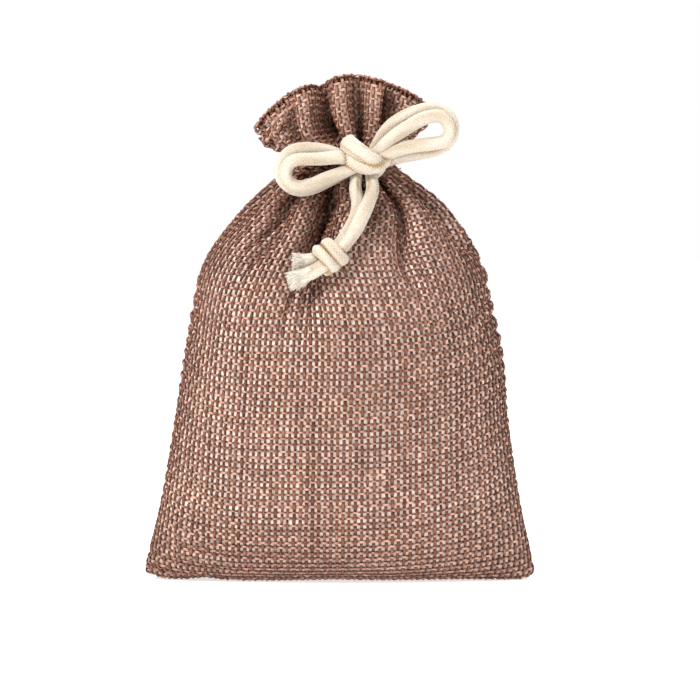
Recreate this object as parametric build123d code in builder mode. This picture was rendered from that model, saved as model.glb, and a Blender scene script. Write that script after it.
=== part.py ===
"""Drawstring gift pouch: a filled cloth bag gathered at the neck by a cotton cord tied in a bow.

The pouch stands on its base. +Z is up, the front with the bow faces -Y, and the origin is
the middle of the base. All sizes are in millimetres.
"""
from build123d import *
import math
import os

# ---------------------------------------------------------------- driving dimensions
ply = 1.1                  # thickness of one layer of the woven cloth
seam_half = 1.0            # half width of a sewn seam strip
allowance = 6.0            # width of cloth turned in at a seam
cord_diameter = 3.3
cord_radius = cord_diameter / 2
groove_radius = cord_radius + 0.05
channel_low = 103.0        # bottom of the drawstring channel
channel_high = 110.0       # top of the drawstring channel
throat_x = 6.2             # the neck leans to the right of the base's middle
throat_radius = 3.5        # hole left in the middle of the gathered neck
cord_level = 106.8         # height of the cord inside the channel
thread_width = 0.5
thread_height = 0.35
stitch_length = 2.0
stitch_pitch = 3.0

# Cross-sections: height, middle in x, half width, half depth
base_oval = (0.0, 0.0, 45.5, 11.0)
body_stations = [
    base_oval,
    (5.0, 0.0, 49.0, 13.5),
    (14.0, 0.2, 47.3, 16.2),
    (30.0, 0.4, 44.3, 20.0),
    (50.0, 0.9, 41.7, 22.4),
    (66.0, 1.2, 39.3, 22.2),
    (80.0, 0.7, 35.6, 20.0),
    (90.0, 1.4, 30.1, 16.8),
    (97.0, 1.8, 23.5, 13.4),
    (channel_low, 4.5, 12.0, 10.2),
]
# The hollow follows the outside one ply in, then closes where the pleats bunch up
cavity_stations = [(max(z, ply), x, w - ply, d - ply) for z, x, w, d in body_stations[:-2]]
cavity_stations += [(97.0, 2.6, 20.0, 11.0), (channel_low, throat_x, throat_radius, throat_radius)]

lower_stitch_oval = (104.4, 5.3, 10.7, 9.6)
upper_stitch_oval = (108.6, 4.9, 10.6, 9.0)
channel_stations = [
    (channel_low, 4.5, 12.0, 10.2),
    lower_stitch_oval,
    (106.5, 6.0, 9.6, 9.0),
    upper_stitch_oval,
    (channel_high, 3.0, 12.5, 9.3),
]
header_stations = [
    (channel_high, 3.0, 12.5, 9.3),
    (113.5, -1.2, 18.6, 9.9),
    (118.0, 0.6, 20.6, 10.5),
    (123.0, 2.6, 19.0, 10.8),
    (128.0, 2.6, 14.0, 10.2),
]


# ---------------------------------------------------------------- cloth helpers
def rings(stations, inset=0.0):
    """Oval cross-sections of a cloth tube, drawn in by inset."""
    ovals = []
    for height, middle_x, half_width, half_depth in stations:
        with BuildSketch(Plane.XY.offset(height)) as oval:
            with Locations((middle_x, 0)):
                Ellipse(half_width - inset, half_depth - inset)
        ovals.append(oval.sketch)
    return ovals


front_of_seam = Plane.XZ.offset(seam_half)
back_of_seam = Plane.XZ.offset(-seam_half)
middle_plane = Plane.XZ
all_parts = []


def finish(builder, name):
    """Name a finished piece and keep it for export."""
    builder.part.label = name
    all_parts.append((name, builder.part))


# ---------------------------------------------------------------- body panels
with BuildPart() as front_panel:
    loft(rings(body_stations))
    loft(rings(cavity_stations), mode=Mode.SUBTRACT)
    split(bisect_by=front_of_seam, keep=Keep.TOP)
finish(front_panel, "front_panel")

with BuildPart() as back_panel:
    loft(rings(body_stations))
    loft(rings(cavity_stations), mode=Mode.SUBTRACT)
    split(bisect_by=back_of_seam, keep=Keep.BOTTOM)
finish(back_panel, "back_panel")

# ---------------------------------------------------------------- sewn seams
seam_floor = 2.5           # top of the bottom seam's turned-in cloth
corner_height = body_stations[1][0]
corner_width = body_stations[1][2]

# Side seams: height, outer and inner distance from the oval's middle. The turned-in cloth
# narrows where the gathers begin.
seam_stations = [(z, x, w, w - ply - allowance) for z, x, w, d in body_stations[1:-2]]
seam_stations += [(97.0, 1.8, 23.3, 20.5), (channel_low, 4.5, 11.8, 7.0)]

for side, sign in (("left", -1), ("right", 1)):
    # The strip of wall between the panels, with its turned-in edge standing inwards
    strips = []
    for height, middle_x, outer, inner in seam_stations:
        with BuildSketch(Plane.XY.offset(height)) as strip:
            with Locations((middle_x + sign * (outer + inner) / 2, 0)):
                Rectangle(outer - inner, 2 * seam_half)
        strips.append(strip.sketch)
    with BuildPart() as side_seam:
        loft(strips)
    finish(side_seam, f"{side}_side_seam")

with BuildPart() as bottom_seam:
    # The strip of base between the panels, turned up at both corners
    with BuildSketch(Plane.XZ):
        with BuildLine():
            Polyline(
                (0, 0),
                (base_oval[2], 0),
                (corner_width, corner_height),
                (corner_width - ply - allowance, corner_height),
                (corner_width - ply - allowance, seam_floor),
                (0, seam_floor),
                close=True,
            )
        make_face()
    extrude(amount=seam_half, both=True)
    mirror(about=Plane.YZ)
finish(bottom_seam, "bottom_seam")

# ---------------------------------------------------------------- drawstring channel
# The cord runs round the throat inside the channel; both ends leave it at the front
mouth_half_gap = 1.8       # half the distance between the cord's two ends
cord_turn_side = 6.6       # from the throat's middle to each straight of the cord's ring
cord_turn_corner = 3.2
mouth_y = -12.2            # both ends reach into the bow's knot
right_half_ring = [
    (mouth_half_gap, mouth_y),
    (mouth_half_gap, -6.9),
    (cord_turn_side, -cord_turn_corner),
    (cord_turn_side, cord_turn_corner),
    (2.6, cord_turn_side),
]
ring_corners = [(-x, y) for x, y in right_half_ring] + right_half_ring[::-1]
ring_route = [Vector(throat_x + x, y, cord_level) for x, y in ring_corners]


def corner_radii(route):
    """The largest arc that fits each corner of a cord's route."""
    radii = []
    for before, corner, after in zip(route, route[1:], route[2:]):
        turn = (corner - before).get_angle(after - corner)
        shorter_run = min((corner - before).length, (after - corner).length)
        radii.append(0.45 * shorter_run / math.tan(math.radians(turn / 2)))
    return radii


def report_cord(name, route, line, volume):
    """Print a cord's bends, and its volume against its section times its length."""
    bends = ", ".join(f"{radius:.1f}" for radius in corner_radii(route))
    length = sum(edge.length for edge in line.edges())
    section_volume = math.pi * cord_radius**2 * length
    print(f"{name}: length {length:.1f}, bends {bends}")
    print(f"  volume {volume:.1f}, section x length {section_volume:.1f}")


with BuildPart() as channel_cord:
    with BuildLine() as ring_line:
        FilletPolyline(*ring_route, radius=corner_radii(ring_route))
    with BuildSketch(Plane(ring_line.line @ 0, z_dir=ring_line.line % 0)):
        Circle(cord_radius)
    sweep()
finish(channel_cord, "channel_cord")
report_cord("channel_cord", ring_route, ring_line.line, channel_cord.part.volume)

with BuildPart() as channel:
    loft(rings(channel_stations))
    with Locations((throat_x, 0, channel_low)):
        Cylinder(throat_radius, channel_high - channel_low,
                 align=(Align.CENTER, Align.CENTER, Align.MIN), mode=Mode.SUBTRACT)
    with BuildLine() as groove_line:
        FilletPolyline(*ring_route, radius=corner_radii(ring_route))
    with BuildSketch(Plane(groove_line.line @ 0, z_dir=groove_line.line % 0)):
        Circle(groove_radius)
    sweep(mode=Mode.SUBTRACT)

with BuildPart() as front_channel:
    add(channel.part)
    split(bisect_by=middle_plane, keep=Keep.TOP)
finish(front_channel, "front_channel")

with BuildPart() as back_channel:
    add(channel.part)
    split(bisect_by=middle_plane, keep=Keep.BOTTOM)
finish(back_channel, "back_channel")

# ---------------------------------------------------------------- gathered header
# Above the channel the cloth flares out; its edge is folded over and sewn down inside
layers = (("header", 0, ply), ("hem_facing", ply, 2 * ply))
halves = (("front", Align.MIN), ("back", Align.MAX))
for layer_name, outer_inset, inner_inset in layers:
    for half_name, removed_side in halves:
        shells = []
        for height, middle_x, half_width, half_depth in header_stations:
            with BuildSketch(Plane.XY.offset(height)) as shell:
                with Locations((middle_x, 0)):
                    Ellipse(half_width - outer_inset, half_depth - outer_inset)
                    Ellipse(half_width - inner_inset, half_depth - inner_inset,
                            mode=Mode.SUBTRACT)
                    Rectangle(3 * half_width, 2 * half_depth,
                              align=(Align.CENTER, removed_side), mode=Mode.SUBTRACT)
            shells.append(shell.sketch)
        with BuildPart() as cloth_half:
            loft(shells)
        finish(cloth_half, f"{half_name}_{layer_name}")

# ---------------------------------------------------------------- sewing thread


def ring_stitches(station):
    """Stitch places round an oval cross-section, lying along its outline."""
    height, middle_x, half_width, half_depth = station
    mean_radius = (half_width + half_depth) / 2
    count = round(2 * math.pi * mean_radius / stitch_pitch)
    places = []
    for index in range(count):
        turn = 2 * math.pi * (index + 0.5) / count
        point = (middle_x + half_width * math.cos(turn), half_depth * math.sin(turn), height)
        along = (-half_width * math.sin(turn), half_depth * math.cos(turn), 0)
        places.append(Plane(origin=point, x_dir=along, z_dir=(0, 0, 1)))
    return places


def line_stitches(start, end, facing):
    """Stitch places along a straight seam, lying on the face that looks along facing."""
    run = end - start
    count = int(run.length / stitch_pitch)
    places = []
    for index in range(count):
        point = start + run * ((index + 0.5) / count)
        places.append(Plane(origin=point, x_dir=run, z_dir=facing))
    return places


seam_threads = {
    "left_seam_thread": (Vector(-44.7, -seam_half, 6), Vector(-30.6, -seam_half, 80), (0, -1, 0)),
    "right_seam_thread": (Vector(44.7, -seam_half, 6), Vector(32.0, -seam_half, 80), (0, -1, 0)),
    "bottom_seam_thread": (Vector(-38, 0, seam_floor), Vector(38, 0, seam_floor), (0, 0, 1)),
}
for thread_name, (start, end, facing) in seam_threads.items():
    with BuildPart() as seam_thread:
        for place in line_stitches(start, end, facing):
            with Locations(place):
                Box(stitch_length, thread_width, thread_height,
                    align=(Align.CENTER, Align.CENTER, Align.MIN))
    finish(seam_thread, thread_name)

channel_threads = {
    "channel_lower_thread": lower_stitch_oval,
    "channel_upper_thread": upper_stitch_oval,
}
for thread_name, oval in channel_threads.items():
    with BuildPart() as channel_thread:
        for place in ring_stitches(oval):
            with Locations(place):
                Box(stitch_length, thread_width, thread_height)
    finish(channel_thread, thread_name)

# ---------------------------------------------------------------- bow
# Each loop is two strands, one behind the other; they start and end beside the knot, on
# balls round the upright line that the loop bends about. The tail is the cord's two ends.
cord_routes = {
    "left_loop_outer": [
        (0.4, -13.0, 107.4), (-3.4, -13.1, 108.6), (-8.0, -13.4, 109.3), (-12.2, -13.5, 108.4),
        (-14.6, -13.6, 105.3), (-14.6, -13.6, 101.5), (-11.4, -13.6, 98.7), (-7.0, -13.4, 99.0),
        (-2.9, -13.2, 100.9), (0.4, -13.0, 102.9),
    ],
    "left_loop_inner": [
        (0.4, -16.4, 107.0), (-3.4, -16.6, 106.6), (-7.4, -16.8, 106.5), (-11.2, -17.0, 106.3),
        (-13.1, -17.0, 104.7), (-13.6, -17.0, 102.3), (-12.4, -17.0, 100.2), (-10.1, -17.0, 99.2),
        (-6.8, -16.8, 100.2), (-3.2, -16.6, 101.7), (0.4, -16.4, 103.0),
    ],
    "right_loop_outer": [
        (12.8, -13.0, 115.0), (16.1, -13.2, 117.0), (20.1, -13.4, 118.8), (24.4, -13.6, 119.5),
        (28.0, -13.7, 117.7), (29.5, -13.7, 114.2), (28.0, -13.7, 110.4), (24.2, -13.6, 108.5),
        (19.9, -13.4, 107.9), (16.1, -13.2, 107.1), (12.8, -13.0, 106.2),
    ],
    "right_loop_inner": [
        (12.8, -16.4, 111.6), (16.2, -16.6, 114.0), (19.8, -16.8, 116.1), (23.8, -17.0, 117.4),
        (26.2, -17.1, 116.6), (27.6, -17.1, 114.5), (27.4, -17.1, 112.1), (25.6, -17.1, 110.5),
        (21.8, -17.0, 110.2), (17.4, -16.7, 109.5), (12.8, -16.4, 108.1),
    ],
    "tail_strand_left": [
        (4.3, -14.5, 102.5), (3.8, -15.9, 99.3), (4.6, -17.3, 96.0), (4.4, -18.6, 92.7),
        (2.9, -19.9, 89.4), (0.8, -21.0, 86.2), (-2.0, -21.8, 83.4), (-5.3, -22.1, 81.8),
        (-8.5, -21.9, 81.3),
    ],
    "tail_strand_right": [
        (7.7, -14.5, 102.5), (8.4, -16.9, 99.3), (7.3, -19.8, 96.0), (5.8, -22.1, 92.7),
        (4.2, -23.3, 89.3), (1.8, -24.4, 86.0), (-1.1, -25.2, 82.7), (-4.4, -25.0, 79.9),
        (-7.5, -24.4, 78.1),
    ],
}

for cord_name, points in cord_routes.items():
    route = [Vector(point) for point in points]
    ball_places = [route[0]] if cord_name.startswith("tail") else [route[0], route[-1]]
    with BuildPart() as strand:
        with BuildLine() as strand_line:
            FilletPolyline(*route, radius=corner_radii(route))
        with BuildSketch(Plane(strand_line.line @ 0, z_dir=strand_line.line % 0)):
            Circle(cord_radius)
        sweep()
        tube_volume = strand.part.volume
        with Locations(*ball_places):
            Sphere(cord_radius)
    finish(strand, cord_name)
    report_cord(cord_name, route, strand_line.line, tube_volume)


def half_oval(centre, along, half_length, half_width):
    """Half of an oval, on a plane through its long axis, to turn into an egg."""
    with BuildSketch(Plane(origin=centre, x_dir=along, z_dir=(0, -1, 0))) as half:
        Ellipse(half_length, half_width)
        Rectangle(3 * half_length, 3 * half_width, align=(Align.CENTER, Align.MAX),
                  mode=Mode.SUBTRACT)
    return half.sketch


bow_knot_centre = (6.6, -14.2, 108.3)
bow_knot_half_length = 4.1
bow_knot_half_width = 3.7
tail_knot_centre = (-2.2, -23.5, 82.6)
tail_knot_along = (1, 0, -1)
tail_knot_half_length = 4.5
tail_knot_half_width = 3.9

with BuildPart() as bow_knot:
    revolve(half_oval(bow_knot_centre, (1, 0, 0), bow_knot_half_length, bow_knot_half_width),
            axis=Axis(bow_knot_centre, (1, 0, 0)))
finish(bow_knot, "bow_knot")

with BuildPart() as tail_knot:
    revolve(half_oval(tail_knot_centre, tail_knot_along, tail_knot_half_length,
                      tail_knot_half_width),
            axis=Axis(tail_knot_centre, tail_knot_along))
finish(tail_knot, "tail_knot")

fringe_length = 3.6
fringe_end_radius = 2.2
for fringe_name, cord_name in (("tail_fringe_upper", "tail_strand_left"),
                               ("tail_fringe_lower", "tail_strand_right")):
    before_end, cord_end = [Vector(point) for point in cord_routes[cord_name][-2:]]
    with BuildPart() as fringe:
        with Locations(Plane(cord_end, z_dir=cord_end - before_end)):
            Cone(cord_radius, fringe_end_radius, fringe_length,
                 align=(Align.CENTER, Align.CENTER, Align.MIN))
    finish(fringe, fringe_name)

# ---------------------------------------------------------------- files
os.makedirs("parts", exist_ok=True)
for name, part in all_parts:
    export_step(part, f"parts/{name}.step")
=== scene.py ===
"""A small gift pouch of coarse open cloth, drawn shut by a braided cotton cord that is tied in a bow.

The cloth is relaxed as a net of threads that keep their length, and is then woven: every warp and weft
thread is a ribbon of its own that passes over and under its neighbours. The cord is a braided tube.
"""
import math

import bpy
import numpy as np
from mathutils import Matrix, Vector


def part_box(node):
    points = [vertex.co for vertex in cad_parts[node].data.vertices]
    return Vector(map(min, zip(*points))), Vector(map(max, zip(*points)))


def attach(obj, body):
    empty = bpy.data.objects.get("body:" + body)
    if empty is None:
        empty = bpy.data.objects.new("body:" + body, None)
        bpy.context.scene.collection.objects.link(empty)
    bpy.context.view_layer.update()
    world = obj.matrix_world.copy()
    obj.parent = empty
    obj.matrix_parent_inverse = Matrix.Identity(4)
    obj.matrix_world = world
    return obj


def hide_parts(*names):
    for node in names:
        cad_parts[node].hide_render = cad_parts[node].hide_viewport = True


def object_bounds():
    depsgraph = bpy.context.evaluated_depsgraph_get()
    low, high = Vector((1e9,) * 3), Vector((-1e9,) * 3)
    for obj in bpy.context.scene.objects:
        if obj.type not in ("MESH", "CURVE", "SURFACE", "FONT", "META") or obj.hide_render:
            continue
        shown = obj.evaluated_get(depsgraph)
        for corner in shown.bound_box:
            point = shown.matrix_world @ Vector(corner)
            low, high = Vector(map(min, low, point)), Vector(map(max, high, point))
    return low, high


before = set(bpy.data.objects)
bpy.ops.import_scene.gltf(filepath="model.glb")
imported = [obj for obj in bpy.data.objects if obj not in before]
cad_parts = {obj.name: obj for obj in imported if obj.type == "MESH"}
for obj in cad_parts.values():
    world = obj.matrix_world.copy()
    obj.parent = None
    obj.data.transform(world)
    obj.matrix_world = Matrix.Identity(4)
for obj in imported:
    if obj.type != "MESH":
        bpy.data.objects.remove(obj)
CAD_BOX = [[float(value) for value in corner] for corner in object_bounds()]

MM = 0.001
UP = np.array([0.0, 0.0, 1.0])
rng = np.random.default_rng(4127)

# ---------------- camera, floor and light

LENS = 180.0
SENSOR = 36.0
VIEW_WIDTH = 177.2 * MM
VIEW_RISE = math.radians(3.0)
AMBIENT = 0.38
box_low, box_high = (np.array(corner) for corner in CAD_BOX)
AIM = (box_low + box_high) / 2 * (1, 0, 1) + np.array([2.6, 0.0, -5.8]) * MM


def aim_at(item, target):
    item.rotation_euler = (Vector(target) - item.location).to_track_quat("-Z", "Y").to_euler()


def add_object(name, data):
    item = bpy.data.objects.new(name, data)
    bpy.context.scene.collection.objects.link(item)
    return item


def add_camera():
    camera = add_object("camera", bpy.data.cameras.new("camera"))
    camera.data.lens = LENS
    camera.data.sensor_width = SENSOR
    camera.data.clip_start = 0.01
    distance = VIEW_WIDTH * LENS / SENSOR
    camera.location = Vector(AIM) + distance * Vector((0, -math.cos(VIEW_RISE), math.sin(VIEW_RISE)))
    aim_at(camera, AIM)
    bpy.context.scene.camera = camera


def add_light(name, place, size, watts, colour=(1, 1, 1)):
    lamp = bpy.data.lights.new(name, "AREA")
    lamp.size = size
    lamp.energy = watts
    lamp.color = colour
    item = add_object(name, lamp)
    item.location = place
    aim_at(item, AIM)


def add_studio():
    world = bpy.data.worlds.new("studio")
    world.use_nodes = True
    background = world.node_tree.nodes["Background"]
    background.inputs["Color"].default_value = (1.0, 1.0, 1.0, 1.0)
    seen = world.node_tree.nodes.new("ShaderNodeLightPath").outputs["Is Camera Ray"]
    link(world, remap(world, seen, AMBIENT, 1.0), background.inputs["Strength"])
    bpy.context.scene.world = world
    bpy.context.scene.view_settings.view_transform = "Standard"
    add_light("key", (-0.48, -0.55, 0.72), 0.24, 9.0, (1.0, 0.985, 0.96))
    add_light("fill", (0.75, -0.55, 0.30), 0.60, 1.2, (0.96, 0.98, 1.0))
    add_light("top", (0.18, 0.10, 0.80), 0.35, 4.6)


def add_floor():
    corners = [(x * 3.0, y * 3.0, 0) for x, y in ((-1, -1), (1, -1), (1, 1), (-1, 1))]
    mesh = bpy.data.meshes.new("floor")
    mesh.from_pydata(corners, [], [(0, 1, 2, 3)])
    floor = add_object("floor", mesh)
    material, shader = new_material("floor_paper")
    shader.inputs["Base Color"].default_value = (0.93, 0.93, 0.93, 1)
    shader.inputs["Roughness"].default_value = 0.9
    shader.inputs["Emission Color"].default_value = (1, 1, 1, 1)
    shader.inputs["Emission Strength"].default_value = 0.65
    mesh.materials.append(material)


# ---------------- materials

def new_material(name):
    material = bpy.data.materials.new(name)
    material.use_nodes = True
    return material, material.node_tree.nodes["Principled BSDF"]


def add_node(material, kind, **sockets):
    node = material.node_tree.nodes.new(kind)
    for socket, value in sockets.items():
        node.inputs[socket.replace("_", " ")].default_value = value
    return node


def link(material, start, end):
    material.node_tree.links.new(start, end)


def noise(material, vector, scale, stretch=(1, 1, 1), detail=3.0):
    """Noise along the given coordinates, squeezed or stretched on each axis."""
    mapping = add_node(material, "ShaderNodeMapping", Scale=stretch)
    texture = add_node(material, "ShaderNodeTexNoise", Scale=scale, Detail=detail)
    link(material, vector, mapping.inputs["Vector"])
    link(material, mapping.outputs["Vector"], texture.inputs["Vector"])
    return texture.outputs["Fac"]


def ramp(material, value, stops):
    """Turns a value into a colour through the given (place, colour) stops."""
    node = add_node(material, "ShaderNodeValToRGB")
    elements = node.color_ramp.elements
    while len(elements) < len(stops):
        elements.new(0.5)
    for element, (place, colour) in zip(elements, stops):
        element.position = place
        element.color = (*colour, 1)
    link(material, value, node.inputs["Fac"])
    return node.outputs["Color"]


def multiply(material, factor, first, second):
    node = material.node_tree.nodes.new("ShaderNodeMix")
    node.data_type = "RGBA"
    node.blend_type = "MULTIPLY"
    node.inputs["Factor"].default_value = factor
    link(material, first, node.inputs["A"])
    link(material, second, node.inputs["B"])
    return node.outputs["Result"]


def object_place(material):
    return material.node_tree.nodes.new("ShaderNodeTexCoord").outputs["Object"]


def patchy(material, colour, scale, stops, factor=1.0):
    """The colour, varied in soft patches."""
    clouds = noise(material, object_place(material), scale)
    return multiply(material, factor, colour, ramp(material, clouds, stops))


def remap(material, value, low, high):
    node = add_node(material, "ShaderNodeMapRange", To_Min=low, To_Max=high)
    link(material, value, node.inputs["Value"])
    return node.outputs["Result"]


def add_bump(material, shader, height, strength, distance):
    bump = add_node(material, "ShaderNodeBump", Strength=strength, Distance=distance)
    link(material, height, bump.inputs["Height"])
    link(material, bump.outputs["Normal"], shader.inputs["Normal"])


def shade_output(material, attribute):
    node = material.node_tree.nodes.new("ShaderNodeAttribute")
    node.attribute_name = attribute
    return node.outputs["Fac"]


def yarn_material(name, shadow, body, crest_highlight, gloss):
    """Flat, glossy threads: fine filaments run along each one, and no two have quite the same colour. Their
    tone ramp runs from painted shade where a thread dives to painted highlight on its crests.
    """
    material, shader = new_material(name)
    fibre = material.node_tree.nodes.new("ShaderNodeUVMap")
    fibre.uv_map = "fibre"
    tone = shade_output(material, "tone")
    # The lowest colour is painted shade where a thread dives, the highest a painted highlight on its crests
    colour = ramp(material, tone, [(0.12, shadow), (0.50, body), (0.88, crest_highlight)])
    filaments = noise(material, fibre.outputs["UV"], 1.0, (9.0, 0.55, 1.0), 4.0)
    streaks = ramp(material, filaments, [(0.30, (0.62, 0.56, 0.54)), (0.62, (1.16, 1.12, 1.10))])
    colour = multiply(material, 1.0, colour, streaks)
    colour = patchy(material, colour, 95.0, [(0.35, (0.86, 0.83, 0.82)), (0.65, (1.10, 1.09, 1.08))], 0.8)
    link(material, colour, shader.inputs["Base Color"])
    link(material, remap(material, filaments, gloss - 0.08, gloss + 0.12), shader.inputs["Roughness"])
    shader.inputs["Specular IOR Level"].default_value = 0.55
    shader.inputs["Specular Tint"].default_value = (1.0, 0.66, 0.52, 1)
    add_bump(material, shader, filaments, 0.55, 0.00012)
    return material


def ground_material(name, dark, pale):
    """What shows through the mesh: pale where the pouch is filled out, and painted shade, dark, where its
    plies meet and nothing fills it.
    """
    material, shader = new_material(name)
    colour = ramp(material, shade_output(material, "tone"), [(0.0, dark), (1.0, pale)])
    colour = patchy(material, colour, 420.0, [(0.3, (0.62, 0.57, 0.55)), (0.7, (1.22, 1.21, 1.20))])
    link(material, colour, shader.inputs["Base Color"])
    weave = noise(material, object_place(material), 1500.0)
    link(material, remap(material, weave, 0.6, 0.85), shader.inputs["Roughness"])
    shader.inputs["Specular IOR Level"].default_value = 0.25
    add_bump(material, shader, weave, 0.4, 0.00015)
    return material


def allowance_material(name, dark, light):
    """The raw cloth of the seam allowances inside: a small check of threads."""
    material, shader = new_material(name)
    place = object_place(material)
    checks = add_node(material, "ShaderNodeTexChecker", Scale=1.0 / WEFT_PITCH,
                      Color1=(*dark, 1), Color2=(*light, 1))
    link(material, place, checks.inputs["Vector"])
    stops = [(0.3, (0.7, 0.66, 0.64)), (0.7, (1.1, 1.08, 1.06))]
    link(material, patchy(material, checks.outputs["Color"], 260.0, stops), shader.inputs["Base Color"])
    link(material, remap(material, noise(material, place, 900.0), 0.55, 0.8), shader.inputs["Roughness"])
    add_bump(material, shader, checks.outputs["Fac"], 0.5, 0.0002)
    return material


def cotton_material(name, crease, body, crown, scale):
    """Soft cotton, fine fibres over all of it: its tone ramp runs from the crease colour, ochre painted shade
    in the braid's grooves, to the crown colour, cream painted highlight on its crowns.
    """
    material, shader = new_material(name)
    tone = shade_output(material, "tone")
    # crease is painted shade and crown painted highlight where the tone follows the braid's relief
    colour = ramp(material, tone, [(0.0, crease), (0.38, body), (1.0, crown)])
    lint = noise(material, object_place(material), scale, detail=5.0)
    flecks = ramp(material, lint, [(0.3, (0.86, 0.83, 0.78)), (0.6, (1.03, 1.03, 1.03))])
    colour = patchy(material, colour, 140.0, [(0.3, (0.95, 0.92, 0.87)), (0.6, (1.0, 1.0, 1.0))], 0.7)
    colour = multiply(material, 0.8, colour, flecks)
    link(material, colour, shader.inputs["Base Color"])
    link(material, remap(material, lint, 0.75, 0.98), shader.inputs["Roughness"])
    shader.inputs["Specular IOR Level"].default_value = 0.2
    shader.inputs["Sheen Weight"].default_value = 0.35
    shader.inputs["Sheen Roughness"].default_value = 0.5
    add_bump(material, shader, lint, 0.35, 0.00012)
    return material


# ---------------- swept meshes

TUBE_SHIFT = 7.31   # keeps the fibre pattern of neighbouring tubes apart
TINY = 1e-12


def unit(vectors):
    return vectors / (np.linalg.norm(vectors, axis=-1, keepdims=True) + TINY)


class Sweep:
    """Collects tubes, given as rings of points, and turns them into one mesh object."""

    def __init__(self):
        self.points, self.loops, self.sizes, self.fibres, self.tones = [], [], [], [], []
        self.count = 0

    def add_faces(self, faces):
        self.loops.append(faces.ravel())
        self.sizes.append(np.full(len(faces), faces.shape[1]))

    def add(self, rings, along, tone, capped=True):
        """rings is (tube, ring, point, xyz), along each ring's distance, tone each point's shade."""
        tubes, steps, around, _ = rings.shape
        index = np.arange(tubes * steps * around).reshape(tubes, steps, around) + self.count
        near, far = index[:, :-1], index[:, 1:]
        quads = np.stack([near, np.roll(near, -1, 2), np.roll(far, -1, 2), far], -1)
        self.add_faces(quads.reshape(-1, 4))
        if capped:
            self.add_faces(index[:, 0, ::-1])
            self.add_faces(index[:, -1])
        across = np.broadcast_to(np.arange(around) / around, index.shape)
        length = np.broadcast_to(np.asarray(along)[..., None] / MM, index.shape)
        drift = np.arange(tubes)[:, None, None] * TUBE_SHIFT
        self.fibres.append(np.stack([across + drift, length], -1).reshape(-1, 2))
        self.tones.append(np.broadcast_to(tone, index.shape).ravel())
        self.points.append(rings.reshape(-1, 3))
        self.count += index.size

    def build(self, name, material):
        points, loops, sizes = (np.concatenate(part) for part in (self.points, self.loops, self.sizes))
        mesh = bpy.data.meshes.new(name)
        mesh.vertices.add(len(points))
        mesh.vertices.foreach_set("co", points.astype(np.float32).ravel())
        mesh.loops.add(len(loops))
        mesh.loops.foreach_set("vertex_index", loops.astype(np.int32))
        mesh.polygons.add(len(sizes))
        mesh.polygons.foreach_set("loop_start", (np.cumsum(sizes) - sizes).astype(np.int32))
        mesh.update(calc_edges=True)
        mesh.validate()
        layer = mesh.uv_layers.new(name="fibre")
        layer.data.foreach_set("uv", np.concatenate(self.fibres)[loops].astype(np.float32).ravel())
        # The tone attribute carries each point's tone, with painted shade and highlight in it for the yarns,
        # the braided cord and the sheet behind the gaps
        tones = mesh.attributes.new("tone", "FLOAT", "POINT")
        tones.data.foreach_set("value", np.concatenate(self.tones).astype(np.float32))
        mesh.shade_smooth()
        mesh.materials.append(material)
        return add_object(name, mesh)


def settle(sweep, name, material, body, slot, *nodes):
    """Builds the swept object, gives it its body and hides the CAD nodes that it stands for. The slot is not
    used.
    """
    piece = sweep.build(name, material)
    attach(piece, body)
    if nodes:
        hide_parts(*nodes)
    return piece


def distances(points):
    steps = np.linalg.norm(np.diff(points, axis=-2), axis=-1)
    start = np.zeros(points.shape[:-2] + (1,))
    return np.concatenate([start, np.cumsum(steps, axis=-1)], -1)


def route_points(name, route, step):
    """Points a step apart on the NURBS spline whose control points are the route."""
    curve = bpy.data.curves.new(name, "CURVE")
    curve.dimensions = "3D"
    spline = curve.splines.new("NURBS")
    spline.points.add(len(route) - 1)
    for point, place in zip(spline.points, route):
        point.co = (*place, 1)
    spline.order_u = 3
    spline.use_endpoint_u = True
    spline.resolution_u = 24
    guide = add_object(name, curve)
    bpy.context.view_layer.update()
    line = bpy.data.meshes.new_from_object(guide)
    points = np.array([vertex.co for vertex in line.vertices], float)
    bpy.data.objects.remove(guide)
    bpy.data.curves.remove(curve)
    bpy.data.meshes.remove(line)
    reach = distances(points)
    places = np.linspace(0, reach[-1], max(8, int(reach[-1] / step)))
    return np.stack([np.interp(places, reach, points[:, axis]) for axis in range(3)], 1)


def carried_frames(points):
    """Side and up vectors carried along a line without twist."""
    forward = unit(np.gradient(points, axis=0))
    side = unit(np.cross(forward[0], UP if abs(forward[0][2]) < 0.9 else np.array([1.0, 0, 0])))
    sides = np.empty_like(points)
    for index, direction in enumerate(forward):
        side = unit(side - direction * np.dot(side, direction))
        sides[index] = side
    return forward, sides, np.cross(forward, sides)


# ---------------- the braided cord

CORD_RADIUS = 1.65 * MM
CORD_STEP = 0.16 * MM
CORD_AROUND = 60
STRANDS_EACH_WAY = 10
BRAID_PITCH = 7.0 * MM
BRAID_RELIEF = 0.14
CREASE_DEPTH = 0.12
CREASE_HALF_ANGLE = 0.28
FUZZ_PER_MM = 9
FUZZ_LENGTH = 0.55 * MM
FUZZ_RADII = np.array([0.022, 0.017, 0.006]) * MM
SQUEEZE = 0.18          # how much thinner a cord is where a knot squeezes it
SQUEEZE_LENGTH = 5 * MM
KNOT_WIDER, KNOT_FLATTER = 1.22, 0.80


def braid_height(angle, length):
    """0 in the grooves to 1 on the crowns of two sets of strands that cross over and under each other."""
    turn = angle / (2 * math.pi)
    first = STRANDS_EACH_WAY * (turn + length / BRAID_PITCH)
    second = STRANDS_EACH_WAY * (turn - length / BRAID_PITCH)
    crown_first = 1 - (2 * (first % 1) - 1) ** 2
    crown_second = 1 - (2 * (second % 1) - 1) ** 2
    first_is_over = (np.floor(first) + np.floor(second)) % 2 < 1
    over = np.where(first_is_over, crown_first, crown_second)
    under = np.where(first_is_over, crown_second, crown_first)
    return over ** 0.6 * under ** 0.25


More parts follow.
